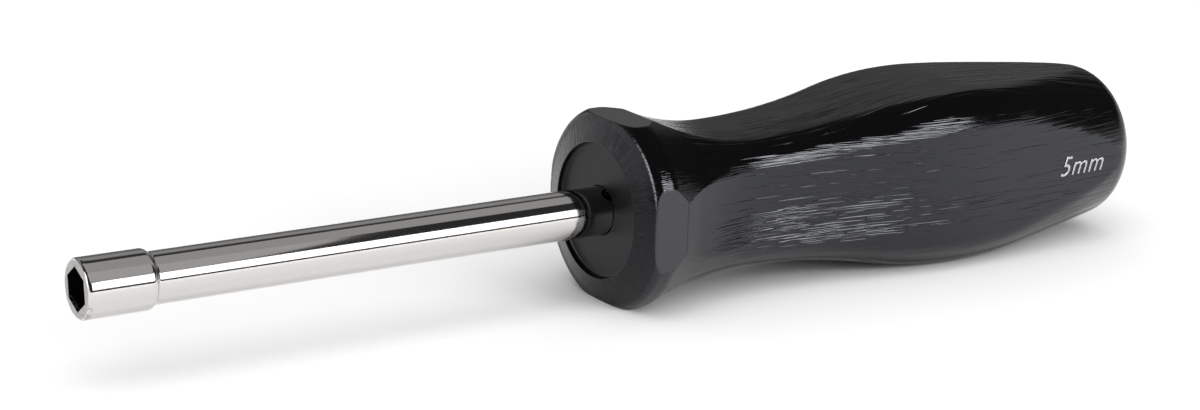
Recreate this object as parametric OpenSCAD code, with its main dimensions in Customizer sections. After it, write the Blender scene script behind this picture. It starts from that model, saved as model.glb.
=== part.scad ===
// Nut driver: a hollow plated shank with a hexagonal socket head, held in a faceted plastic handle.
// The tool lies on one facet of its handle. +X runs from the socket to the butt, and +Z is up.
// The origin is under the middle of the tool, on the surface that it lies on.

/* [Handle] */
// Length of the handle, from the rim of its front recess to its butt
handle_l = 92.4; // [88:0.1:104]
// Diameter of the collar
collar_d = 28.4; // [27.4:0.1:29.6]
// Distance across opposite rim flats, and across the crests of opposite facets
flat_af = 26; // [25:0.1:27]
// Setback of that edge behind the rim of the recess
face_setback = 1.1; // [0.4:0.1:2]
// Radius of the collar's rounded front edge
collar_edge_r = 1.4; // [0.8:0.1:2]
// Diameter of the waist
waist_d = 22.7; // [21:0.1:24]
// Place of the waist behind the recess rim
waist_pos = 19.3; // [17:0.1:23]
// Radius of the hollow flare from collar to waist
flare_r = 40.5; // [30:0.5:55]
// Radius of the hollow flank behind the waist
flank_r = 103; // [80:1:130]
// Diameter of the belly over the corners
belly_d = 31.8; // [30:0.1:34]
// Place of the belly behind the recess rim
belly_pos = 58.5; // [54:0.1:63]
// Diameter that the rear taper runs to at the butt
butt_d = 22; // [20:0.1:25]
// Radius of the rounded butt edge
butt_edge_r = 4.6; // [2:0.1:6]
// Radius of the domed butt
butt_dome_r = 60; // [40:1:120]

/* [Facets] */
// Distance across opposite facets at their deepest place
valley_af = 18.8; // [17.6:0.1:20]
// Place of the deepest facet section behind the recess rim
valley_pos = 21.5; // [19:0.1:24]
// Radius of the facet run-out at the collar
runout_r = 33; // [26:0.5:42]
// Radius of the hollow part of a facet behind its deepest place
facet_hollow_r = 106; // [85:1:125]
// Place of the facet crest behind the recess rim
crest_pos = 58; // [54:0.1:63]
// Distance across opposite facets where their straight rear runs to the butt
facet_butt_af = 23.1; // [21:0.1:24.5]

/* [Front recess] */
// Diameter of the recess in the front face
recess_d = 18.9; // [15:0.1:20.5]
// Depth of the recess
recess_depth = 0.8; // [0.5:0.1:2]

/* [Shank] */
// Length that stands out of the handle, from recess rim to socket mouth
reach = 76.2; // [60:0.1:120]
// Outside diameter of the tube
shank_d = 6.8; // [6.2:0.1:7.4]
// Bore of the tube
shank_bore_d = 4.4; // [4.2:0.1:4.8]
// Length of tube held in the handle
grip_l = 40; // [30:0.5:60]
// Diameter of the anchor cross-holes
anchor_d = 2; // [1.6:0.1:2.8]
// Depth of the hidden anchor holes below the recess floor
anchor_depth = 18; // [10:0.5:26]
// Turn of the anchor hole that shows, from the front side up
anchor_turn = 54; // [0:1:90]

/* [Socket] */
// Length of the socket head
head_l = 9.8; // [9.4:0.1:13]
// Outside diameter of the socket head
head_d = 7.9; // [7.7:0.1:8.6]
// Distance across the flats of the hexagon, with its working clearance
hex_af = 5.05; // [4.95:0.01:5.15]
// Depth of the hexagon
hex_depth = 8; // [6:0.1:8.5]
// Lean of the hexagon's upper corner toward the back
hex_turn = 23; // [0:1:59]
// Radius of the rounded mouth edge
mouth_edge_r = 0.55; // [0.2:0.05:0.7]
// Length of the rounded rear shoulder
shoulder_l = 0.9; // [0.8:0.1:2]
// Length of the spigot in the tube
spigot_l = 7; // [4:0.1:12]
// Bore for long bolts through the spigot
bolt_bore_d = 3.2; // [2.8:0.1:3.4]

/* [Fits] */
// Radial clearance of the seats and keys
fit_gap = 0.02; // [0.01:0.01:0.05]

/* [Hidden] */
$fn = 180;

// Overrun of every cut
cut_over = 2;
facet_count = 4;
hex_sides = 6;
// Lap of the outline's pieces, so that they cross rather than graze
blend_lap = 0.01;
// Ease of the belly's radius, so that belly and flank cross rather than graze
swell_ease = 0.3;

collar_r = collar_d / 2;
waist_r = waist_d / 2;
belly_r = belly_d / 2;
butt_r = butt_d / 2;
recess_r = recess_d / 2;
flat_h = flat_af / 2;
valley_h = valley_af / 2;
shank_r = shank_d / 2;
shank_bore_r = shank_bore_d / 2;
anchor_r = anchor_d / 2;
head_r = head_d / 2;
hex_r = hex_af / 2 / cos(180 / hex_sides);

// Sum of the radii of two arcs that join two level tangents by an S
function s_radii(run, rise) = (run * run + rise * rise) / (2 * rise);
function lerp(a, b, share) = a + (b - a) * share;

// Places along the axis, from the recess rim
belly_run_r = s_radii(belly_pos - waist_pos, belly_r - waist_r);
flank_share = flank_r / belly_run_r;
facet_run_r = s_radii(crest_pos - valley_pos, flat_h - valley_h);
hollow_share = facet_hollow_r / facet_run_r;
tube_end = recess_depth + grip_l;
key_pos = recess_depth + anchor_depth;
head_seat = head_l - reach;

// Points of the handle's turned outline, as [radius, place]
face_edge_c = [collar_r - collar_edge_r, face_setback + collar_edge_r];
flare_c = [waist_r + flare_r, waist_pos];
flank_c = [waist_r + flank_r, waist_pos];
bend_pos = lerp(waist_pos, belly_pos, flank_share);
swell_r = belly_run_r - flank_r + swell_ease;
swell_c = [belly_r - swell_r, belly_pos];

// The rear taper leaves the belly as a tangent that runs to the butt's corner
corner = [butt_r, handle_l];
corner_run = norm(corner - swell_c);
taper_turn = atan2(corner[1] - swell_c[1], corner[0] - swell_c[0]) - acos(swell_r / corner_run);
taper_n = [cos(taper_turn), sin(taper_turn)];
taper_d = [-sin(taper_turn), cos(taper_turn)];
taper_start = swell_c + (swell_r - blend_lap) * taper_n;

// The butt's rounded edge touches the taper and the dome
dome_c = [0, handle_l - butt_dome_r];
edge_in = butt_edge_r - blend_lap;
edge_off = (dome_c - corner) * taper_n + edge_in;
edge_run = sqrt(pow(butt_dome_r - edge_in, 2) - pow(edge_off, 2));
butt_edge_c = dome_c - edge_off * taper_n + edge_run * taper_d;
taper_end = butt_edge_c + edge_in * taper_n;

// Points of a facet's side outline, as [place, height above the axis]
facet_bend_pos = lerp(valley_pos, crest_pos, hollow_share);
runout_c = [valley_pos, valley_h + runout_r];
hollow_c = [valley_pos, valley_h + facet_hollow_r];
facet_swell_r = facet_run_r - facet_hollow_r;
facet_swell_c = [crest_pos, flat_h - facet_swell_r];
facet_top = belly_r + cut_over;

// The straight rear of a facet leaves its crest as a tangent
rear_corner = [handle_l, facet_butt_af / 2];
rear_dir = rear_corner - facet_swell_c;
rear_turn = atan2(rear_dir[1], rear_dir[0]) + acos(facet_swell_r / norm(rear_dir));
rear_start = facet_swell_c + (facet_swell_r - blend_lap) * [cos(rear_turn), sin(rear_turn)];
cut_end = handle_l + cut_over;
rear_end = lerp(rear_start, rear_corner, (cut_end - rear_start[0]) / (handle_l - rear_start[0]));

// Places what is drawn along Z from the recess rim onto the tool's own axis
module on_axis() {
    translate([(reach - handle_l) / 2, 0, flat_h]) rotate([0, 90, 0]) children();
}

// Band of the turned outline, from one place along the axis to another
module band(from, to, r) {
    translate([0, from]) square([r, to - from]);
}

// Half of the handle's front, from the recess rim to the waist
module front_outline() {
    difference() {
        union() {
            polygon([[0, 0], [recess_r, 0], [face_edge_c[0], face_setback + blend_lap],
                     [collar_r, face_edge_c[1]], [collar_r, waist_pos], [0, waist_pos]]);
            translate(face_edge_c) circle(collar_edge_r);
        }
        translate(flare_c) circle(flare_r);
    }
}

// Half of the hollow flank behind the waist
module flank_outline() {
    difference() {
        band(waist_pos, bend_pos, belly_r);
        translate(flank_c) circle(flank_r);
    }
}

// Half of the belly
module belly_outline() {
    intersection() {
        translate(swell_c) circle(swell_r);
        band(waist_pos, handle_l, belly_r + cut_over);
    }
}

// Half of the taper and the domed butt
module butt_outline() {
    intersection() {
        union() {
            polygon([[0, belly_pos], taper_start, taper_end, butt_edge_c,
                     [butt_edge_c[0], handle_l], [0, handle_l]]);
            translate(butt_edge_c) circle(butt_edge_r);
        }
        translate(dome_c) circle(butt_dome_r);
        band(belly_pos, handle_l, belly_r);
    }
}

// Side strip above the axis, from one place along it to another
module strip(from, to) {
    translate([from, 0]) square([to - from, facet_top]);
}

// Cut across the handle with a given side outline
module across() {
    rotate([0, -90, -90]) linear_extrude(height = 2 * facet_top, center = true) children();
}

// Everything that one facet takes off: rim flat, run-out, hollow, swell and rear
module facet_cut() {
    across() translate([-cut_over, flat_h]) square([valley_pos + cut_over, facet_top - flat_h]);
    across() intersection() {
        translate(runout_c) circle(runout_r);
        strip(-cut_over, valley_pos);
    }
    across() intersection() {
        translate(hollow_c) circle(facet_hollow_r);
        strip(valley_pos, facet_bend_pos);
    }
    across() difference() {
        strip(facet_bend_pos, cut_end);
        translate(facet_swell_c) circle(facet_swell_r);
        polygon([[crest_pos, -cut_over], rear_start, rear_end, [rear_end[0] + cut_over, -cut_over]]);
    }
}

// Anchor pin or hole across the tube, drawn along the turned Z axis
module cross_pin(r, l) {
    rotate([90, 0, 0]) cylinder(r = r, h = l, center = true);
}

module handle() {
    color([0.03, 0.03, 0.035]) on_axis() {
        difference() {
            union() {
                rotate_extrude() front_outline();
                rotate_extrude() flank_outline();
                rotate_extrude() belly_outline();
                rotate_extrude() butt_outline();
            }
            for (i = [0:facet_count - 1]) rotate([0, 0, i * 360 / facet_count]) facet_cut();
            translate([0, 0, -cut_over]) cylinder(r = recess_r, h = recess_depth + cut_over);
            cylinder(r = shank_r + fit_gap, h = tube_end);
        }
        // Keys that fill the hidden anchor holes
        translate([0, 0, key_pos]) difference() {
            cross_pin(anchor_r - fit_gap, shank_d + anchor_d);
            cylinder(r = shank_bore_r, h = anchor_d, center = true);
        }
    }
}

module shank() {
    color([0.75, 0.75, 0.76]) on_axis() difference() {
        translate([0, 0, head_seat]) cylinder(r = shank_r, h = tube_end - head_seat);
        translate([0, 0, head_seat - cut_over])
            cylinder(r = shank_bore_r, h = tube_end - head_seat + 2 * cut_over);
        translate([0, 0, recess_depth]) rotate([0, 0, -anchor_turn]) cross_pin(anchor_r, shank_d + cut_over);
        translate([0, 0, key_pos]) cross_pin(anchor_r, shank_d + cut_over);
    }
}

// Half of the socket head's turned outline, from the mouth back
module head_outline() {
    drop = head_r - shank_r;
    shoulder_r = (drop * drop + shoulder_l * shoulder_l) / (2 * drop);
    intersection() {
        union() {
            polygon([[0, 0], [head_r - mouth_edge_r, 0], [head_r, mouth_edge_r],
                     [head_r, head_l], [0, head_l]]);
            translate([head_r - mouth_edge_r, mouth_edge_r]) circle(mouth_edge_r);
        }
        union() {
            band(0, head_l - shoulder_l, head_d);
            translate([head_r - shoulder_r, head_l - shoulder_l]) circle(shoulder_r);
        }
    }
}

module socket() {
    color([0.72, 0.72, 0.73]) on_axis() translate([0, 0, -reach]) difference() {
        union() {
            rotate_extrude() head_outline();
            translate([0, 0, head_l - cut_over])
                cylinder(r = shank_bore_r - fit_gap, h = spigot_l + cut_over);
        }
        translate([0, 0, -cut_over]) rotate([0, 0, -hex_turn])
            cylinder(r = hex_r, h = hex_depth + cut_over, $fn = hex_sides);
        cylinder(d = bolt_bore_d, h = head_l + spigot_l + cut_over);
    }
}

handle();
shank();
socket();
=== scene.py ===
"""Nut driver on a pale table: plated hollow shank, small hexagonal head, brushed black handle."""
import math

import bpy
from mathutils import Matrix, Vector


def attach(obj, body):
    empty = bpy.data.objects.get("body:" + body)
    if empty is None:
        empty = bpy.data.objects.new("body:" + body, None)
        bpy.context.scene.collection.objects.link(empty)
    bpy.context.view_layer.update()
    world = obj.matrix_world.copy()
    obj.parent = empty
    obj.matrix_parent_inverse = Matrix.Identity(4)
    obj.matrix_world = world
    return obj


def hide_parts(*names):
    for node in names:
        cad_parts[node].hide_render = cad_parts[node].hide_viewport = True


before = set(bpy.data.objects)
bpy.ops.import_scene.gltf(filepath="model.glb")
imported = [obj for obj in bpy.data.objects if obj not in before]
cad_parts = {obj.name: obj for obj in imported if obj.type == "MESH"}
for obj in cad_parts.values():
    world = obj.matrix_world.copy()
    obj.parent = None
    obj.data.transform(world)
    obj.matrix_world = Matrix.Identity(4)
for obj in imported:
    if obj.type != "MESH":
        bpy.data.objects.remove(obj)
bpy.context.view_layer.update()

# Sizes in millimetres. Places along the tool run from the rim of the front recess toward the butt
MM, MM_PER_M = 0.001, 1000
RIM_X = -8.1
AXIS_Z = 13.0

COLLAR_R, COLLAR_EDGE_R, FACE_SETBACK = 14.2, 1.4, 1.1
RECESS_R, RECESS_DEPTH, RECESS_FILLET = 9.45, 0.8, 0.5
RIM_EDGE_R, RIM_FACE, BORE_EDGE_L, BORE_EDGE_R = 0.14, 0.12, 0.12, 0.1
WAIST_R, WAIST_T, FLARE_R, FLANK_R = 11.35, 19.3, 40.5, 103.0
BELLY_R, BELLY_T = 15.9, 58.5
HANDLE_L, BUTT_R, BUTT_EDGE_R, BUTT_DOME_R = 92.4, 11.0, 4.6, 60.0
FLAT_H, VALLEY_H, VALLEY_T, RUNOUT_R = 13.0, 9.4, 21.5, 33.0
HOLLOW_R, CREST_T, FACET_BUTT_H = 106.0, 58.0, 11.55
EDGE_CRISP_R, EDGE_GAIN_R, EDGE_START, EDGE_RUN = 0.35, 3.2, 7.0, 13.0
BODY_EASE, FACET_EASE = 0.55, 0.45
SHANK_R, SHANK_BORE_R, TUBE_END, TUBE_PLAY = 3.4, 2.2, 40.8, 0.1
REACH, HEAD_L, HEAD_R, FACE_IN_R = 76.2, 9.8, 3.95, 3.2
MOUTH_EDGE_R, SHOULDER_L, SHOULDER_HOLLOW_R = 0.55, 1.15, 0.55
HEX_AF, HEX_DEPTH, HEX_LEAN = 5.05, 8.0, 23.0
ANCHOR_R, ANCHOR_TURN, ANCHOR_OVERRUN = 1.0, 54.0, 2.0
BOLT_R, SPIGOT_L = 1.6, 7.0
MARK_SIZE, MARK_SLANT, MARK_RISE, MARK_T, MARK_Z = 4.3, 0.3, 0.03, 79.6, -0.1
MARK_SPACING, MARK_THIN = 1.08, 0.045
FIT = 0.02

# Angles in degrees at which rounded edges start, and the least turn of a facet and of its edge
RIM_TURN, COLLAR_TURN = 18, 9
LEAST_FACET, LEAST_EDGE, LEAST_FRONT_EDGE = 8, 3, 0.5

# Mesh steps: points on each part of an outline, gaps between rings, columns in an eighth of a turn
STEPS = {"bore": 8, "floor": 10, "fillet": 8, "rim": 4, "face": 12, "collar": 14, "butt": 18, "dome": 10,
         "mouth": 10, "head": 8, "shoulder": 24, "ease": 8, "round": 192, "anchor": 48}
RING_GAPS, LAST_GAP = ((10, 0.2), (30, 0.45), (HANDLE_L, 0.6)), 0.5
TUBE_RINGS = [-3, -1.6, -0.8, 0, 0.8, 1.6, 2.4, 3.2, 6, 20]
TUBE_END_RING, TUBE_FIRST_RING, TUBE_RING_GAP, TUBE_RING_COUNT = 0.4, 4, 6, 10
BOLT_RINGS = (12, 4, 0)
FACET_COLS, EDGE_COLS, LAND_COLS = 9, 9, 11
HALF_COLS = FACET_COLS + EDGE_COLS + LAND_COLS
MERGE_M, NEAR, RIM_MARGIN, LEAST_DROP, LEAST_TURN = 0.000001, 0.01, 0.3, 0.0001, 0.001


def place(t, y, z):
    """A point of the tool, from millimetres along, across and above its axis to metres in the frame."""
    return Vector(((t + RIM_X) * MM, y * MM, (AXIS_Z + z) * MM))


# Modelling helpers

def fresh():
    """Leaves edit mode with nothing selected."""
    if bpy.context.object and bpy.context.object.mode == "EDIT":
        bpy.ops.object.mode_set(mode="OBJECT")
    bpy.ops.object.select_all(action="DESELECT")


def lathe(name, outline, steps, closed=False):
    """Turns an outline of (along, radius) points about the tool's axis."""
    fresh()
    bpy.ops.mesh.primitive_circle_add(vertices=3, radius=MM)
    piece = bpy.context.object
    piece.name = piece.data.name = name
    bpy.ops.object.mode_set(mode="EDIT")
    bpy.ops.mesh.merge(type="CENTER")
    points = [place(t, 0, r) for t, r in outline]
    bpy.ops.mesh.select_all(action="SELECT")
    bpy.ops.transform.translate(value=points[0])
    for a, b in zip(points, points[1:]):
        bpy.ops.mesh.extrude_region_move(TRANSFORM_OT_translate={"value": b - a})
    if closed:
        bpy.ops.mesh.extrude_region_move(TRANSFORM_OT_translate={"value": points[0] - points[-1]})
    bpy.ops.mesh.select_all(action="SELECT")
    bpy.ops.mesh.spin(steps=steps, angle=2 * math.pi, center=place(0, 0, 0), axis=(1, 0, 0))
    bpy.ops.mesh.select_all(action="SELECT")
    bpy.ops.mesh.remove_doubles(threshold=MERGE_M)
    bpy.ops.mesh.normals_make_consistent(inside=False)
    bpy.ops.object.mode_set(mode="OBJECT")
    return piece


def smooth(piece, angle):
    """Shades a piece smooth, except at edges sharper than the angle."""
    fresh()
    piece.select_set(True)
    bpy.context.view_layer.objects.active = piece
    bpy.ops.object.shade_smooth_by_angle(angle=math.radians(angle))


def cut(piece, cutter):
    """Takes the cutter's form out of a piece, and removes the cutter."""
    fresh()
    bpy.context.view_layer.objects.active = piece
    piece.select_set(True)
    mod = piece.modifiers.new("cut", "BOOLEAN")
    mod.operation, mod.solver, mod.object = "DIFFERENCE", "EXACT", cutter
    bpy.ops.object.modifier_apply(modifier=mod.name)
    bpy.data.objects.remove(cutter)


def line(a, b, n):
    """Points on a straight line in n steps, both ends included."""
    return [(a[0] + (b[0] - a[0]) * i / n, a[1] + (b[1] - a[1]) * i / n) for i in range(n + 1)]


def arc(c, r, a0, a1, n):
    """Points on a circle about c, angles in degrees from the along direction toward the radius."""
    return [(c[0] + r * math.cos(math.radians(a0 + (a1 - a0) * i / n)),
             c[1] + r * math.sin(math.radians(a0 + (a1 - a0) * i / n))) for i in range(n + 1)]


# The handle's turned outline and its facets

def s_curve(t, t0, h0, t1, h1, r0):
    """Height at t of a hollow arc of radius r0 that runs into a rounded one between two level ends."""
    total = ((t1 - t0) ** 2 + (h1 - h0) ** 2) / (2 * (h1 - h0))
    bend = t0 + (t1 - t0) * r0 / total
    if t <= bend:
        return h0 + r0 - math.sqrt(r0 * r0 - (t - t0) ** 2)
    r1 = total - r0
    return h1 - r1 + math.sqrt(r1 * r1 - (t - t1) ** 2)


def tangent_from(c, r, corner):
    """Where the straight line that runs down to a corner behind a circle leaves the circle's top."""
    d = math.hypot(corner[0] - c[0], corner[1] - c[1])
    a = math.atan2(corner[1] - c[1], corner[0] - c[0]) + math.acos(r / d)
    return c[0] + r * math.cos(a), c[1] + r * math.sin(a)


def swell_radius(run, rise, hollow_r):
    """Radius of the rounded arc that completes a hollow one over a run and a rise."""
    return (run ** 2 + rise ** 2) / (2 * rise) - hollow_r


SWELL_R = swell_radius(BELLY_T - WAIST_T, BELLY_R - WAIST_R, FLANK_R)
TAPER = tangent_from((BELLY_T, BELLY_R - SWELL_R), SWELL_R, (HANDLE_L, BUTT_R))
TAPER_SLOPE = (BUTT_R - TAPER[1]) / (HANDLE_L - TAPER[0])
FACET_SWELL_R = swell_radius(CREST_T - VALLEY_T, FLAT_H - VALLEY_H, HOLLOW_R)
REAR = tangent_from((CREST_T, FLAT_H - FACET_SWELL_R), FACET_SWELL_R, (HANDLE_L, FACET_BUTT_H))


def body_raw(t):
    """Radius of the turned body, with plain corners."""
    if t < WAIST_T:
        return min(COLLAR_R, WAIST_R + FLARE_R - math.sqrt(FLARE_R ** 2 - (t - WAIST_T) ** 2))
    if t < BELLY_T:
        return s_curve(t, WAIST_T, WAIST_R, BELLY_T, BELLY_R, FLANK_R)
    if t < TAPER[0]:
        return BELLY_R - SWELL_R + math.sqrt(SWELL_R ** 2 - (t - BELLY_T) ** 2)
    return TAPER[1] + TAPER_SLOPE * (t - TAPER[0])


def facet_raw(t):
    """Height of a facet over the axis, with plain corners."""
    if t < VALLEY_T:
        return min(FLAT_H, VALLEY_H + RUNOUT_R - math.sqrt(RUNOUT_R ** 2 - (t - VALLEY_T) ** 2))
    if t < CREST_T:
        return s_curve(t, VALLEY_T, VALLEY_H, CREST_T, FLAT_H, HOLLOW_R)
    if t < REAR[0]:
        return FLAT_H - FACET_SWELL_R + math.sqrt(FACET_SWELL_R ** 2 - (t - CREST_T) ** 2)
    return REAR[1] + (FACET_BUTT_H - REAR[1]) * (t - REAR[0]) / (HANDLE_L - REAR[0])


def eased(f, t, half):
    """Mean of f around t, which rounds its corners."""
    n = STEPS["ease"]
    return sum(f(t + half * i / n) for i in range(-n, n + 1)) / (2 * n + 1)


def body_at(t):
    return eased(body_raw, t, BODY_EASE)


def facet_at(t):
    return eased(facet_raw, t, FACET_EASE)


def edge_at(t):
    """Radius of the softened edge between facet and corner: crisp on the collar, soft on the grip."""
    k = min(1.0, max(0.0, (t - EDGE_START) / EDGE_RUN))
    return EDGE_CRISP_R + EDGE_GAIN_R * k * k * (3 - 2 * k)


def section(r, h, e):
    """Half width of a facet at height h, and the angles where it ends and where its softened edge of
    radius e meets a corner of radius r."""
    if h >= r - LEAST_DROP:
        return 0.0, 0.0, 0.0
    y = math.sqrt((r - e) ** 2 - (h - e) ** 2)
    return y, math.atan2(y, h), math.atan2(y, h - e)


def radius_at(r, h, e, a):
    """Radius of the faceted section at an angle from the facet's middle."""
    y, a1, a2 = section(r, h, e)
    if a >= a2:
        return r
    if a <= a1:
        return h / math.cos(a)
    b = (h - e) * math.cos(a) + y * math.sin(a)
    return b + math.sqrt(b * b - (r - e) ** 2 + e * e)


def column_angle(k, r, h, e, front):
    """Angle from the facet's middle of one column of points, which follow the facet's edges."""
    if front:
        r, h, e = COLLAR_R, FLAT_H, edge_at(0)
    _, a1, a2 = section(r, h, e)
    a1 = max(a1, math.radians(LEAST_FACET))
    if a2 < a1 + LEAST_TURN:
        a2 = a1 + math.radians(LEAST_FRONT_EDGE if front else LEAST_EDGE)
    if k <= FACET_COLS:
        return math.atan(math.tan(a1) * k / FACET_COLS)
    if k <= FACET_COLS + EDGE_COLS:
        return a1 + (a2 - a1) * (k - FACET_COLS) / EDGE_COLS
    return a2 + (math.pi / 4 - a2) * (k - FACET_COLS - EDGE_COLS) / LAND_COLS


def butt_edge():
    """Centre of the butt's rounded edge, which touches the taper and the dome."""
    n = math.hypot(1, TAPER_SLOPE)
    nt, nr = -TAPER_SLOPE / n, 1 / n
    off = BUTT_EDGE_R - BUTT_DOME_R * nt - BUTT_R * nr
    run = math.sqrt((BUTT_DOME_R - BUTT_EDGE_R) ** 2 - off ** 2)
    return HANDLE_L - BUTT_DOME_R - off * nt + run * nr, -off * nr - run * nt


def handle_outline():
    """The turned outline, from the bottom of the bore out over the front face and back to the butt."""
    bore, floor_r = SHANK_R + FIT, RECESS_R - RECESS_FILLET
    collar = FACE_SETBACK + COLLAR_EDGE_R, COLLAR_R - COLLAR_EDGE_R
    pts = [(TUBE_END, 0)] + line((TUBE_END, bore), (RECESS_DEPTH, bore), STEPS["bore"])[:-1]
    pts += [(RECESS_DEPTH + BORE_EDGE_L, bore)]
    pts += line((RECESS_DEPTH, bore + BORE_EDGE_R), (RECESS_DEPTH, floor_r), STEPS["floor"])
    pts += arc((RECESS_DEPTH - RECESS_FILLET, floor_r), RECESS_FILLET, 0, 90, STEPS["fillet"])[1:]
    pts += arc((RIM_EDGE_R, RECESS_R + RIM_EDGE_R), RIM_EDGE_R, -90, RIM_TURN - 180, STEPS["rim"])[:-1]
    pts += line((0.0, RECESS_R + RIM_FACE), (FACE_SETBACK, collar[1]), STEPS["face"])[:-1]
    pts += arc(collar, COLLAR_EDGE_R, 180 - COLLAR_TURN, 90, STEPS["collar"])

    centre = butt_edge()
    a = math.degrees(math.atan2(1, -TAPER_SLOPE))
    end = centre[0] + BUTT_EDGE_R * math.cos(math.radians(a))
    t = collar[0]
    while t < end - LAST_GAP:
        t += next(gap for limit, gap in RING_GAPS if t < limit)
        pts.append((t, body_at(t)))
    dome_a = math.degrees(math.asin(centre[1] / (BUTT_DOME_R - BUTT_EDGE_R)))
    pts += arc(centre, BUTT_EDGE_R, a, dome_a, STEPS["butt"])
    pts += arc((HANDLE_L - BUTT_DOME_R, 0), BUTT_DOME_R, dome_a, 0, STEPS["dome"])[1:]
    return pts


def mill_facets(piece):
    """Slides each turned ring's points to the facet edges and down onto the four facets."""
    cols = 8 * HALF_COLS
    cache = {}
    for v in piece.data.vertices:
        t = v.co.x / MM - RIM_X
        y, z = v.co.y / MM, v.co.z / MM - AXIS_Z
        r = math.hypot(y, z)
        if r < NEAR:
            continue
        k = round(math.atan2(y, z) / (2 * math.pi) * cols) % cols
        part, j = divmod(k, HALF_COLS)
        j = HALF_COLS - j if part % 2 else j
        key = (round(t, 4), round(r, 4), j)
        if key not in cache:
            front = t < FACE_SETBACK + COLLAR_EDGE_R + NEAR
            inner = r < RECESS_R + RIM_MARGIN and t < HANDLE_L / 2
            h, e = facet_at(t), edge_at(t)
            a = column_angle(j, r, h, e, front or inner)
            cache[key] = a, r if inner else radius_at(r, h, e, a)
        a, new_r = cache[key]
        mid = (part + 1) // 2 * math.pi / 2
        a = mid - a if part % 2 else mid + a
        v.co = place(t, new_r * math.sin(a), new_r * math.cos(a))


# The pieces

def make_handle():
    piece = lathe("grip", handle_outline(), 8 * HALF_COLS)
    mill_facets(piece)
    piece.data.update()
    smooth(piece, angle=40)
    return piece


def make_shank():
    start, end = HEAD_L - REACH, TUBE_END - TUBE_PLAY
    rings = [start, start + TUBE_END_RING]
    rings += [start + TUBE_FIRST_RING + i * TUBE_RING_GAP for i in range(TUBE_RING_COUNT)]
    rings += TUBE_RINGS + [end]
    outline = [(t, SHANK_R) for t in rings] + [(t, SHANK_BORE_R) for t in reversed(rings)]
    piece = lathe("tube", outline, STEPS["round"], closed=True)
    fresh()
    bpy.ops.mesh.primitive_cylinder_add(
        vertices=STEPS["anchor"], radius=ANCHOR_R * MM, depth=(2 * SHANK_R + ANCHOR_OVERRUN) * MM,
        location=place(RECESS_DEPTH, 0, 0), rotation=(math.radians(90 - ANCHOR_TURN), 0, 0))
    cut(piece, bpy.context.object)
    smooth(piece, angle=35)
    return piece


def make_head():
    back = HEAD_L - REACH
    start, mouth = back - SHOULDER_L, -REACH + MOUTH_EDGE_R
    outline = [(back + SPIGOT_L, BOLT_R)] + [(-REACH + t, BOLT_R) for t in BOLT_RINGS]
    outline += [(-REACH, FACE_IN_R)]
    outline += arc((mouth, HEAD_R - MOUTH_EDGE_R), MOUTH_EDGE_R, 180, 90, STEPS["mouth"])
    outline += line((mouth, HEAD_R), (start, HEAD_R), STEPS["head"])[1:-1]
    for i in range(STEPS["shoulder"] + 1):
        t = start + SHOULDER_L * i / STEPS["shoulder"]
        outline.append((t, s_curve(-t, -back, SHANK_R, -start, HEAD_R, SHOULDER_HOLLOW_R)))
    outline += [(back, SHANK_BORE_R - FIT), (back + SPIGOT_L, SHANK_BORE_R - FIT)]
    piece = lathe("hex_head", outline, STEPS["round"], closed=True)
    fresh()
    bpy.ops.mesh.primitive_cylinder_add(vertices=6, radius=HEX_AF / 2 / math.cos(math.pi / 6) * MM,
                                        depth=2 * HEX_DEPTH * MM, location=place(-REACH, 0, 0))
    hexagon = bpy.context.object
    lean = Matrix.Rotation(math.radians(HEX_LEAN), 4, "X")
    lay_down = Matrix.Rotation(math.radians(90), 4, "Y")
    hexagon.matrix_world = Matrix.Translation(place(-REACH, 0, 0)) @ lean @ lay_down
    bpy.context.view_layer.update()
    cut(piece, hexagon)
    smooth(piece, angle=30)
    return piece


def make_mark():
    """The size, printed in silver near the butt on the front facet."""
    fresh()
    bpy.ops.object.text_add()
    piece = bpy.context.object
    piece.name = piece.data.name = "size_mark"
    text = piece.data
    text.body, text.size, text.shear = "5mm", MARK_SIZE * MM, MARK_SLANT
    text.align_x, text.align_y, text.space_character = "CENTER", "CENTER", MARK_SPACING
    text.offset = -MARK_THIN * MM
    text.extrude, text.bevel_depth, text.bevel_resolution = MARK_RISE * MM, MARK_RISE * MM, 1
    bpy.ops.object.convert(target="MESH")
    slope = facet_at(MARK_T + 1) - facet_at(MARK_T)
    along, up = Vector((1, -slope, 0)).normalized(), Vector((0, 0, 1))
    turn = Matrix((along, up, along.cross(up))).transposed().to_4x4()
    spot = place(MARK_T, -facet_at(MARK_T) - MARK_RISE, MARK_Z)
    piece.data.transform(Matrix.Translation(spot) @ turn)
    smooth(piece, angle=30)
    return piece


# Shader values

class Val:
    """A shader value that takes part in plain sums."""

    def __init__(self, tree, socket):
        self.tree, self.socket = tree, socket

    def fn(self, op, o=None):
        return math_node(self.tree, op, self, o)

    def __add__(self, o): return math_node(self.tree, "ADD", self, o)
    def __radd__(self, o): return math_node(self.tree, "ADD", o, self)
    def __sub__(self, o): return math_node(self.tree, "SUBTRACT", self, o)
    def __rsub__(self, o): return math_node(self.tree, "SUBTRACT", o, self)
    def __mul__(self, o): return math_node(self.tree, "MULTIPLY", self, o)
    def __rmul__(self, o): return math_node(self.tree, "MULTIPLY", o, self)
    def __truediv__(self, o): return math_node(self.tree, "DIVIDE", self, o)

    def band(self, low, high):
        """0 below low, 1 above high, eased between."""
        return node(self.tree, "ShaderNodeMapRange", {"interpolation_type": "SMOOTHSTEP"},
                    {"Value": self, "From Min": low, "From Max": high})


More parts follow.
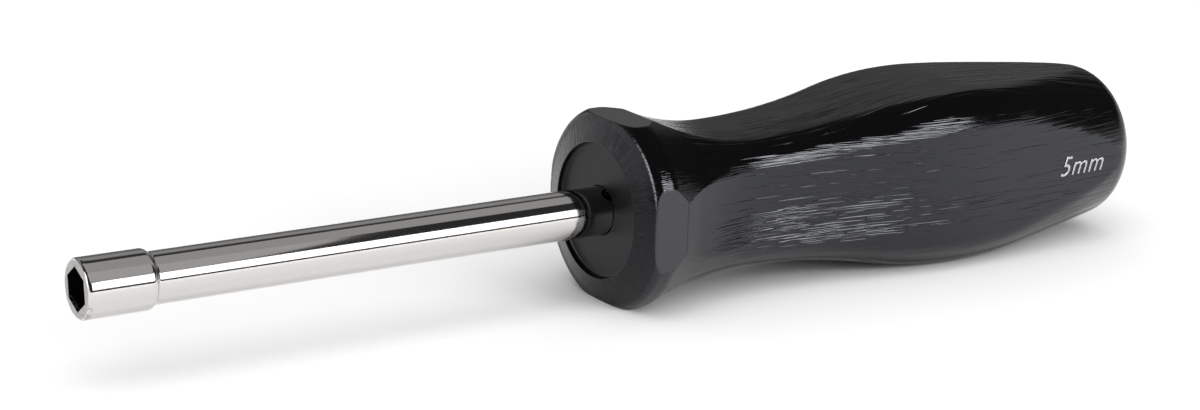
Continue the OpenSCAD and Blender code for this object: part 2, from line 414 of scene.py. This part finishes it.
def node(tree, kind, settings=None, sockets=None, out=0):
    """Adds a node, sets its settings, fills or links its sockets, and gives one output as a value."""
    n = tree.nodes.new(kind)
    for key, value in (settings or {}).items():
        setattr(n, key, value)
    for key, value in (sockets or {}).items():
        if isinstance(value, Val):
            tree.links.new(value.socket, n.inputs[key])
        else:
            n.inputs[key].default_value = value
    return Val(tree, n.outputs[out]) if len(n.outputs) else None


def math_node(tree, op, a, b=None):
    return node(tree, "ShaderNodeMath", {"operation": op}, {0: a} if b is None else {0: a, 1: b})


def vector(tree, x, y, z):
    return node(tree, "ShaderNodeCombineXYZ", None, {0: x, 1: y, 2: z})


def noise(tree, at, detail, rough=0.5):
    return node(tree, "ShaderNodeTexNoise", None,
                {"Vector": at, "Scale": 1.0, "Detail": detail, "Roughness": rough})


def coordinates(tree, kind):
    """The three parts of one kind of coordinate."""
    co = node(tree, "ShaderNodeTexCoord", out=kind)
    split = tree.nodes.new("ShaderNodeSeparateXYZ")
    tree.links.new(co.socket, split.inputs[0])
    return [Val(tree, part) for part in split.outputs]


def tool_coords(tree):
    """Along the tool, across it, above its axis, and away from its axis, in millimetres."""
    x, y, z = coordinates(tree, "Object")
    t = x * MM_PER_M - RIM_X
    y, z = y * MM_PER_M, z * MM_PER_M - AXIS_Z
    r = (y * y + z * z).fn("SQRT").fn("MAXIMUM", NEAR)
    return t, y, z, r


def finish_of(name):
    mat = bpy.data.materials.new(name)
    mat.use_nodes = True
    mat.node_tree.nodes.clear()
    return mat, mat.node_tree


def principled(tree, sockets):
    return node(tree, "ShaderNodeBsdfPrincipled", None, sockets)


def surface(tree, shader, kind="Material"):
    node(tree, "ShaderNodeOutput" + kind, None, {"Surface": shader})


def wear(piece, mat, slot, *replaced):
    piece.data.materials.clear()
    piece.data.materials.append(mat)
    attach(piece, "root")
    if replaced:
        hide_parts(*replaced)


# The handle's finish: each pair is where a mask starts and is whole, in millimetres or as a share
FACET_START, FACET_END, FACET_CORNER = (9, 12), (86.5, 89.5), (0.64, 0.70)
DISC_EDGE, DISC_BACK = (RECESS_R - 0.2, RECESS_R + 0.1), (RECESS_DEPTH + 0.3, RECESS_DEPTH + 0.6)
FLAT_TOP, FLAT_END = (FLAT_H - 0.07, FLAT_H - 0.01), (11.5, 13)
FRONT_END, FACE_END, BUTT_MIDDLE = (6, 12), (FACE_SETBACK, FACE_SETBACK + 0.6), (2, 8)
WORN_START, WORN_END, WORN_END_CUT = (10, 18), (27, 56), 0.85
WORN_FOOT, WORN_TOP, WORN_TOP_CUT = (-7.4, -5.6), (-3.2, 0.6), 0.95
UPPER_CORNER, UPPER_HALF, UPPER_SHARE = (0.49, 0.59), (0, 1), 0.45
PATCH_RANGE, PATCH_LEAST, PATCH_GAIN = (0.38, 0.6), 0.45, 0.7
# Marks: length and width along a facet, or length and count round the axis, then their depths
PATCH_MARK, GRAIN_MARK, COARSE_MARK = (8.0, 1.6), (7.5, 0.2), (14.0, 0.8)
RADIAL_MARK, TURNED_MARK = (2.2, 52.0), (6.0, 60.0)
GRAIN_DEPTH, WORN_DEPTH, RADIAL_DEPTH, TURNED_DEPTH = 0.046, 0.19, 0.05, 0.03
COARSE_DEPTH, COARSE_UPRIGHT_CUT = 0.32, 0.22
FACET_SEED = 13.7
# Gloss and colour
PLASTIC_ROUGH, DISC_ROUGH, FLAT_ROUGH = 0.11, 0.3, 0.1
PLASTIC_GREY, FLAT_GREY, BLUE_CAST = 0.0016, 0.024, 1.08
PLASTIC_IOR, GLOSS_LEVEL, DULL_LEVEL, SHEEN_TINT = 1.53, 0.5, 0.26, (0.9, 0.92, 1.0, 1)


def turned_marks(tree, along, y, z, r, length, count):
    """Noise drawn out along the tool, and toward its axis on the front face."""
    at = vector(tree, along / length, y / r * count, z / r * count)
    return noise(tree, at, detail=2.0, rough=0.55)


def milled_marks(tree, t, across, side, length, width):
    """Noise drawn out in straight lines along one facet."""
    return noise(tree, vector(tree, t / length, across / width, side * FACET_SEED), detail=1.0)


def black_plastic():
    mat, tree = finish_of("brushed_black_plastic")
    t, y, z, r = tool_coords(tree)
    wide, high = y.fn("ABSOLUTE"), z.fn("ABSOLUTE")
    upright = wide.fn("GREATER_THAN", high)
    across = y + (z - y) * upright
    side = y.fn("SIGN") * upright + z.fn("SIGN") * (1 - upright) * 2
    corner = wide.fn("MINIMUM", high) / r

    facet = (1 - corner.band(*FACET_CORNER)) * t.band(*FACET_START) * (1 - t.band(*FACET_END))
    disc = (1 - r.band(*DISC_EDGE)) * (1 - t.band(*DISC_BACK))
    flat = wide.fn("MAXIMUM", high).band(*FLAT_TOP) * (1 - t.band(*FLAT_END))
    front = (1 - t.band(*FRONT_END)) * (1 - disc) * (1 - flat)
    face = 1 - t.band(*FACE_END)

    # The facets are worn in patches low down behind the waist and along their upper edge
    patch = milled_marks(tree, t, across, side, *PATCH_MARK)
    lower = across.band(*WORN_FOOT) * (1 - across.band(*WORN_TOP) * WORN_TOP_CUT)
    lower = lower * (1 - t.band(*WORN_END) * WORN_END_CUT)
    upper_edge = corner.band(*UPPER_CORNER) * across.band(*UPPER_HALF)
    worn = t.band(*WORN_START) * (lower + upper_edge * UPPER_SHARE)
    worn = worn * (PATCH_LEAST + patch.band(*PATCH_RANGE) * PATCH_GAIN)

    grain = milled_marks(tree, t, across, side, *GRAIN_MARK) * facet * (GRAIN_DEPTH + worn * WORN_DEPTH)
    coarse = milled_marks(tree, t, across, side, *COARSE_MARK)
    coarse = coarse * facet * (COARSE_DEPTH - upright * COARSE_UPRIGHT_CUT)
    radial = turned_marks(tree, t - r, y, z, r, *RADIAL_MARK) * front * RADIAL_DEPTH
    turned = turned_marks(tree, t - r, y, z, r, *TURNED_MARK) * r.band(*BUTT_MIDDLE)
    turned = turned * (1 - facet) * (1 - disc) * (1 - flat) * TURNED_DEPTH
    height = grain + coarse + radial + turned
    normal = node(tree, "ShaderNodeBump", None, {"Strength": 1.0, "Distance": MM, "Height": height})

    rough = PLASTIC_ROUGH + disc * DISC_ROUGH + flat * FLAT_ROUGH
    grey = PLASTIC_GREY + flat * FLAT_GREY
    base = vector(tree, grey, grey, grey * BLUE_CAST)
    gloss, dull = (principled(tree, {
        "Base Color": base, "Roughness": rough, "IOR": PLASTIC_IOR, "Specular IOR Level": level,
        "Specular Tint": SHEEN_TINT, "Normal": normal}) for level in (GLOSS_LEVEL, DULL_LEVEL))
    surface(tree, node(tree, "ShaderNodeMixShader", None, {0: face, 1: gloss, 2: dull}))
    return mat


# The metal's finish: clouds and specks per millimetre, masks as above
CLOUD_ALONG, CLOUD_ROUND, SPECKS = 0.25, 1.5, 3
NOSE_FACE, LIP_BACK, LIP_LOW = (-REACH + 0.01, -REACH + 0.08), (-REACH + 0.3, -REACH + 0.9), (-2.5, 0)
LIP_SPECKS = (0.46, 0.56)
PLATE_ROUGH, CLOUD_ROUGH, DULL_ROUGH = 0.06, 0.04, 0.3
DULL_SHADE, SPECK_SHADE = 0.1, 0.6
PLATE_TINT = (0.675, 0.655, 0.64)
PRINT_GREY, PRINT_ROUGH = (0.52, 0.52, 0.54, 1), 0.34


def plating():
    """Bright plate, dull on the nose's face and speckled along its lower lip."""
    mat, tree = finish_of("nickel_chrome")
    t, y, z, _ = tool_coords(tree)
    cloud = noise(tree, vector(tree, t * CLOUD_ALONG, y * CLOUD_ROUND, z * CLOUD_ROUND), detail=2.0)
    speck = noise(tree, vector(tree, t * SPECKS, y * SPECKS, z * SPECKS), detail=3.0)
    face = 1 - t.band(*NOSE_FACE)
    lip = (1 - t.band(*LIP_BACK)) * speck.band(*LIP_SPECKS) * (1 - z.band(*LIP_LOW))
    dull = face.fn("MAXIMUM", lip)
    rough = PLATE_ROUGH + cloud * CLOUD_ROUGH + dull * DULL_ROUGH
    shade = 1 - dull * (DULL_SHADE + speck * SPECK_SHADE)
    tint = vector(tree, *(shade * part for part in PLATE_TINT))
    surface(tree, principled(tree, {"Base Color": tint, "Metallic": 1.0, "Roughness": rough}))
    return mat


def silver_print():
    mat, tree = finish_of("silver_print")
    surface(tree, principled(tree, {
        "Base Color": PRINT_GREY, "Metallic": 1.0, "Roughness": PRINT_ROUGH}))
    return mat


# The stage, in metres: painted shade darkens the floor far behind on the right, and a painted glow
# lights it a little away from the tool
FLOOR_SIZE, FLOOR_STRETCH, FLOOR_ROUGH = 6, 1.3, 0.9
FLOOR_WHITE, FLOOR_PAINTED_SHADE, PAINTED_SHADE_RANGE = 0.86, 0.66, (0.25, 0.6)
FLOOR_PAINTED_GLOW, PAINTED_GLOW_RANGE = 0.1, (0.045, 0.12)
# The room, with angles in degrees: away from straight in front, and above the horizon
ROOM_LEVEL, DEGREES = 0.03, 180 / math.pi
WALL_SIDE, WALL_LEVEL = (112, 135), 0.03
WALL_RISES = (((4, 13), 0.1), ((20, 30), 0.15), ((41, 48), -0.27))
HORIZON_TOP, HORIZON_SIDE, HORIZON_LEVEL = (4, 16), (45, 70), 0.6
HORIZON_BACK, HORIZON_CUT = (105, 125), 0.55
LEFT_TOP, LEFT_SIDE, LEFT_HALF, LEFT_LEVEL = (6, 18), (100, 115), (-0.1, 0.0), 1.1


def make_floor():
    fresh()
    bpy.ops.mesh.primitive_plane_add(size=FLOOR_SIZE, location=(0, 0, 0))
    floor = bpy.context.object
    floor.name = "table"
    mat, tree = finish_of("white_table")
    x, y, _ = coordinates(tree, "Object")
    x = x / FLOOR_STRETCH
    # Painted glow: the floor gives off a little light of its own away from the tool; painted shade
    # darkens its colour far behind on the right
    painted_glow = (x * x + y * y).fn("SQRT").band(*PAINTED_GLOW_RANGE) * FLOOR_PAINTED_GLOW
    shade = FLOOR_WHITE - (x + y).band(*PAINTED_SHADE_RANGE) * FLOOR_PAINTED_SHADE
    surface(tree, principled(tree, {
        "Base Color": vector(tree, shade, shade, shade), "Roughness": FLOOR_ROUGH,
        "Specular IOR Level": 0.0,
        "Emission Color": vector(tree, painted_glow, painted_glow, painted_glow), "Emission Strength": 1.0}))
    floor.data.materials.append(mat)
    return floor


def make_surroundings():
    """A dim room: a grey wall behind, a pale band at the horizon, paler at the back left."""
    world = bpy.data.worlds.new("studio")
    bpy.context.scene.world = world
    world.use_nodes = True
    tree = world.node_tree
    tree.nodes.clear()
    x, y, z = coordinates(tree, "Generated")
    side = x.fn("ARCTAN2", y * -1).fn("ABSOLUTE") * DEGREES
    rise = z.fn("ARCSINE") * DEGREES
    wall = WALL_LEVEL
    for limits, level in WALL_RISES:
        wall = wall + rise.band(*limits) * level
    wall = side.band(*WALL_SIDE) * wall
    horizon = (1 - rise.band(*HORIZON_TOP)) * side.band(*HORIZON_SIDE)
    horizon = horizon * (HORIZON_LEVEL - side.band(*HORIZON_BACK) * HORIZON_CUT)
    left = (1 - rise.band(*LEFT_TOP)) * side.band(*LEFT_SIDE) * (1 - x.band(*LEFT_HALF)) * LEFT_LEVEL
    shader = node(tree, "ShaderNodeBackground", None, {
        "Color": (1, 1, 1, 1), "Strength": ROOM_LEVEL + wall + horizon + left})
    surface(tree, shader, "World")


def make_lamp(name, size, at, power, spin=0, glossy=True, aimed=False, only=()):
    """A flat lamp that shines straight down, or at the handle's front, on the named pieces alone."""
    data = bpy.data.lights.new(name, "AREA")
    data.shape, data.size, data.size_y, data.energy = "RECTANGLE", size[0], size[1], power
    lamp = bpy.data.objects.new(name, data)
    bpy.context.collection.objects.link(lamp)
    lamp.location = at
    lamp.rotation_euler = (0, 0, math.radians(spin))
    if aimed:
        lamp.rotation_euler = (place(0, 0, 0) - lamp.location).to_track_quat("-Z", "Y").to_euler()
    lamp.visible_glossy = glossy
    if only:
        group = bpy.data.collections.new(name + "_reach")
        for piece in only:
            group.objects.link(piece)
        lamp.light_linking.receiver_collection = group


# The camera: angles in degrees, distance to the recess rim in millimetres, the rest in picture points
AZIMUTH, ELEVATION, ROLL = math.radians(-34.337), math.radians(16.162), math.radians(2.213)
FOCAL, DISTANCE, RIM_U, RIM_V = 2697.9, 371.09, 594.81, 210.82
PICTURE_W, PICTURE_H, SENSOR = 1200, 410, 36


def make_camera():
    back = Vector((math.sin(AZIMUTH) * math.cos(ELEVATION), -math.cos(AZIMUTH) * math.cos(ELEVATION),
                   math.sin(ELEVATION)))
    level = (-back).cross(Vector((0, 0, 1))).normalized()
    rise = level.cross(-back)
    right = level * math.cos(ROLL) + rise * math.sin(ROLL)
    up = rise * math.cos(ROLL) - level * math.sin(ROLL)
    xc = (RIM_U - PICTURE_W / 2) / FOCAL * DISTANCE
    yc = -(RIM_V - PICTURE_H / 2) / FOCAL * DISTANCE
    eye = place(0, 0, 0) - (right * xc + up * yc - back * DISTANCE) * MM
    data = bpy.data.cameras.new("camera")
    data.sensor_fit, data.sensor_width, data.lens = "HORIZONTAL", SENSOR, FOCAL / PICTURE_W * SENSOR
    data.clip_start = 0.01
    cam = bpy.data.objects.new("camera", data)
    bpy.context.collection.objects.link(cam)
    cam.matrix_world = Matrix.Translation(eye) @ Matrix((right, up, back)).transposed().to_4x4()
    bpy.context.scene.camera = cam


make_camera()
plastic, plate = black_plastic(), plating()
grip, tube, head = make_handle(), make_shank(), make_head()
wear(grip, plastic, "handle_plastic", "handle")
wear(tube, plate, "plated_steel", "shank")
wear(head, plate, "plated_steel", "socket")
mark = make_mark()
wear(mark, silver_print(), "plated_steel")
table = make_floor()
make_surroundings()

# Lamps: size and place in metres, power in watts
SOFTBOX_FOOT = 0.12
metal = tube, head
softboxes = ("softbox", 0.42, 6.0, (grip, table, mark)), ("metal_softbox", 0.46, 1.75, metal)
strips = ("strip", 5.0, grip), ("metal_strip", 1.2, head)
make_lamp("room", size=(3.0, 3.0), at=(0.0, 0.1, 0.9), power=20, glossy=False)
make_lamp("overhead", size=(1.8, 1.8), at=(-0.45, -0.75, 0.95), power=11.5, glossy=False)
make_lamp("ceiling", size=(0.8, 0.231), at=(0.2, 0.018, 0.313), power=0.197, only=metal)
make_lamp("card", size=(0.35, 0.34), at=(-0.0339, -0.2637, 0.313), power=0.16, spin=10.6, only=metal)
for name, high, power, lit in softboxes:
    make_lamp(name, size=(0.5, high), at=(0.407, -0.87, SOFTBOX_FOOT + high / 2), power=power,
              aimed=True, only=lit)
for name, power, lit in strips:
    make_lamp(name, size=(0.28, 0.5), at=(-0.8, 0.07, 0.16), power=power, aimed=True, only=(lit,))
bpy.context.scene.view_settings.view_transform = "Standard"
bpy.context.scene.cycles.denoising_prefilter = "NONE"

fresh()
